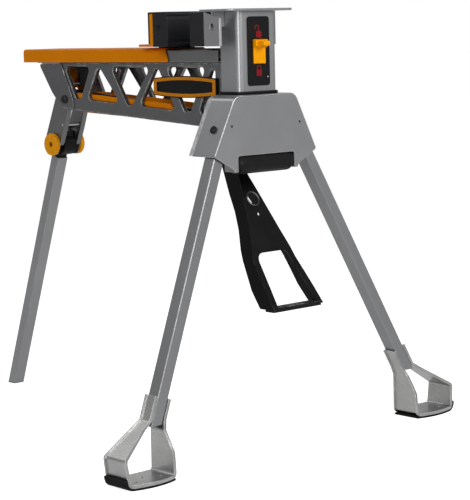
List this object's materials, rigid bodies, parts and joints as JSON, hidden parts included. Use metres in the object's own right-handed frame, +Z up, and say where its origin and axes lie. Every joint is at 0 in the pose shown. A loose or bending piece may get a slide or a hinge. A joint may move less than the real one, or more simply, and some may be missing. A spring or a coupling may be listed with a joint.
{
  "type": "portable clamping work stand",
  "caption": "Folding tripod work stand with a trussed beam, a sliding jaw with pads, a foot pedal that closes the jaw, a lock rocker and stirrup feet.",
  "frame": {"origin": "on the floor, under the middle of the stand's bounding box", "axes": "+X along the beam towards the column and pedal, +Y to the stand's left, +Z up"},
  "size_m": [1.0124, 0.9192, 0.875],
  "materials": {
    "silver_paint": "satin silver-grey powder coat with a fine sparkle",
    "orange_paint": "satin orange-yellow powder coat",
    "orange_plastic": "moulded orange-yellow plastic, slightly glossy",
    "black_plastic": "moulded black plastic, fine grain",
    "black_paint": "semi-gloss black paint on pressed steel",
    "black_rubber": "matt black rubber",
    "steel": "zinc-plated steel"
  },
  "bodies": {
    "frame": {"badge_backing": "black_plastic", "badge_plate": "black_plastic", "beam_bottom_channel": "orange_paint", "beam_end_doubler_left": "silver_paint", "beam_end_doubler_right": "silver_paint", "beam_end_wall": "orange_paint", "beam_side_plate_left": "silver_paint", "beam_side_plate_right": "silver_paint", "beam_top_channel": "silver_paint", "bracket_bolt": "steel", "bracket_cross_pin": "steel", "bracket_spacer_left": "steel", "bracket_spacer_right": "steel", "column": "silver_paint", "column_collar": "black_plastic", "column_gusset_left": "silver_paint", "column_gusset_right": "silver_paint", "fixed_jaw_bracket": "silver_paint", "fixed_jaw_pad": "black_plastic", "housing_front_shell": "silver_paint", "housing_rear_shell": "silver_paint", "hub_axle": "steel", "leg_bolt_left": "steel", "leg_bolt_right": "steel", "lock_bezel": "black_plastic", "lock_dog_pin": "steel", "pedal_bracket_left": "silver_paint", "pedal_bracket_right": "silver_paint", "pedal_pivot_pin": "steel", "pedal_return_spring": "steel", "rear_bracket": "silver_paint", "roller_axle": "steel", "top_plate": "silver_paint"},
    "jaw": {"slide_rail": "orange_paint", "moving_jaw_bracket": "orange_paint", "moving_jaw_pad": "black_plastic", "jaw_spacer": "black_plastic", "jaw_screw_left": "steel", "jaw_screw_right": "steel", "draw_bar": "steel"},
    "drive": {"drive_dog": "steel", "pull_rod": "steel"},
    "lock_link": {"lock_rod": "steel"},
    "lock_lever": {"lock_dog": "steel"},
    "rocker": {"lock_rocker": "orange_plastic"},
    "roller_body": {"roller": "black_plastic"},
    "leg_left": {"front_leg_left": "silver_paint", "foot_stirrup_left": "silver_paint", "foot_sole_left": "black_rubber"},
    "leg_right": {"front_leg_right": "silver_paint", "foot_stirrup_right": "silver_paint", "foot_sole_right": "black_rubber"},
    "rear_leg": {"rear_leg_hub": "black_plastic", "rear_leg_tube": "silver_paint", "rear_leg_cap": "black_rubber"},
    "knob_left": {"release_knob_left": "orange_plastic"},
    "knob_right": {"release_knob_right": "orange_plastic"},
    "pedal": {"pedal_lever": "black_paint", "pedal_tread": "black_plastic", "pedal_link_pin": "steel"}
  },
  "joints": [
    {"name": "jaw_slide", "type": "slide", "parent": "frame", "child": "jaw", "axis": [1, 0, 0], "range_m": [-0.4, 0.066]},
    {"name": "pedal_press", "type": "hinge", "parent": "frame", "child": "pedal", "pos_m": [0.27821, 0, 0.6], "axis": [0, 1, 0], "range_deg": [0, 32], "stiffness_Nm_per_rad": 4, "springref_deg": -22.92},
    {"name": "drive_stroke", "type": "slide", "parent": "frame", "child": "drive", "axis": [1, 0, 0], "range_m": [0, 0.034]},
    {"name": "rocker_tilt", "type": "hinge", "parent": "frame", "child": "rocker", "pos_m": [0.38821, 0, 0.7825], "axis": [0, -1, 0], "range_deg": [0, 12]},
    {"name": "lock_rod_slide", "type": "slide", "parent": "frame", "child": "lock_link", "axis": [1, 0, 0], "range_m": [0, 0.0048]},
    {"name": "lock_dog_tilt", "type": "hinge", "parent": "frame", "child": "lock_lever", "pos_m": [-0.18579, 0, 0.722], "axis": [0, 1, 0], "range_deg": [0, 7.2]},
    {"name": "roller_spin", "type": "hinge", "parent": "frame", "child": "roller_body", "pos_m": [0.38721, 0, 0.569], "axis": [0, 1, 0], "continuous": true},
    {"name": "leg_left_fold", "type": "hinge", "parent": "frame", "child": "leg_left", "pos_m": [0.37631, 0.09943, 0.631], "axis": [0, 0.9015, 0.4327], "range_deg": [0, 96]},
    {"name": "leg_right_fold", "type": "hinge", "parent": "frame", "child": "leg_right", "pos_m": [0.37631, -0.09943, 0.631], "axis": [0, 0.9015, -0.4327], "range_deg": [0, 96]},
    {"name": "rear_leg_fold", "type": "hinge", "parent": "frame", "child": "rear_leg", "pos_m": [-0.26379, 0, 0.5845], "axis": [0, -1, 0], "range_deg": [0, 80]},
    {"name": "knob_left_pull", "type": "slide", "parent": "frame", "child": "knob_left", "axis": [0, 1, 0], "range_m": [0, 0.006], "stiffness_N_per_m": 1200, "springref_m": -0.002},
    {"name": "knob_right_pull", "type": "slide", "parent": "frame", "child": "knob_right", "axis": [0, -1, 0], "range_m": [0, 0.006], "stiffness_N_per_m": 1200, "springref_m": -0.002}
  ],
  "couplings": [
    {"joint": "drive_stroke", "follows": "pedal_press", "m_per_rad": 0.06},
    {"joint": "lock_rod_slide", "follows": "rocker_tilt", "m_per_rad": 0.0225},
    {"joint": "lock_dog_tilt", "follows": "rocker_tilt", "ratio": 0.59211}
  ]
}
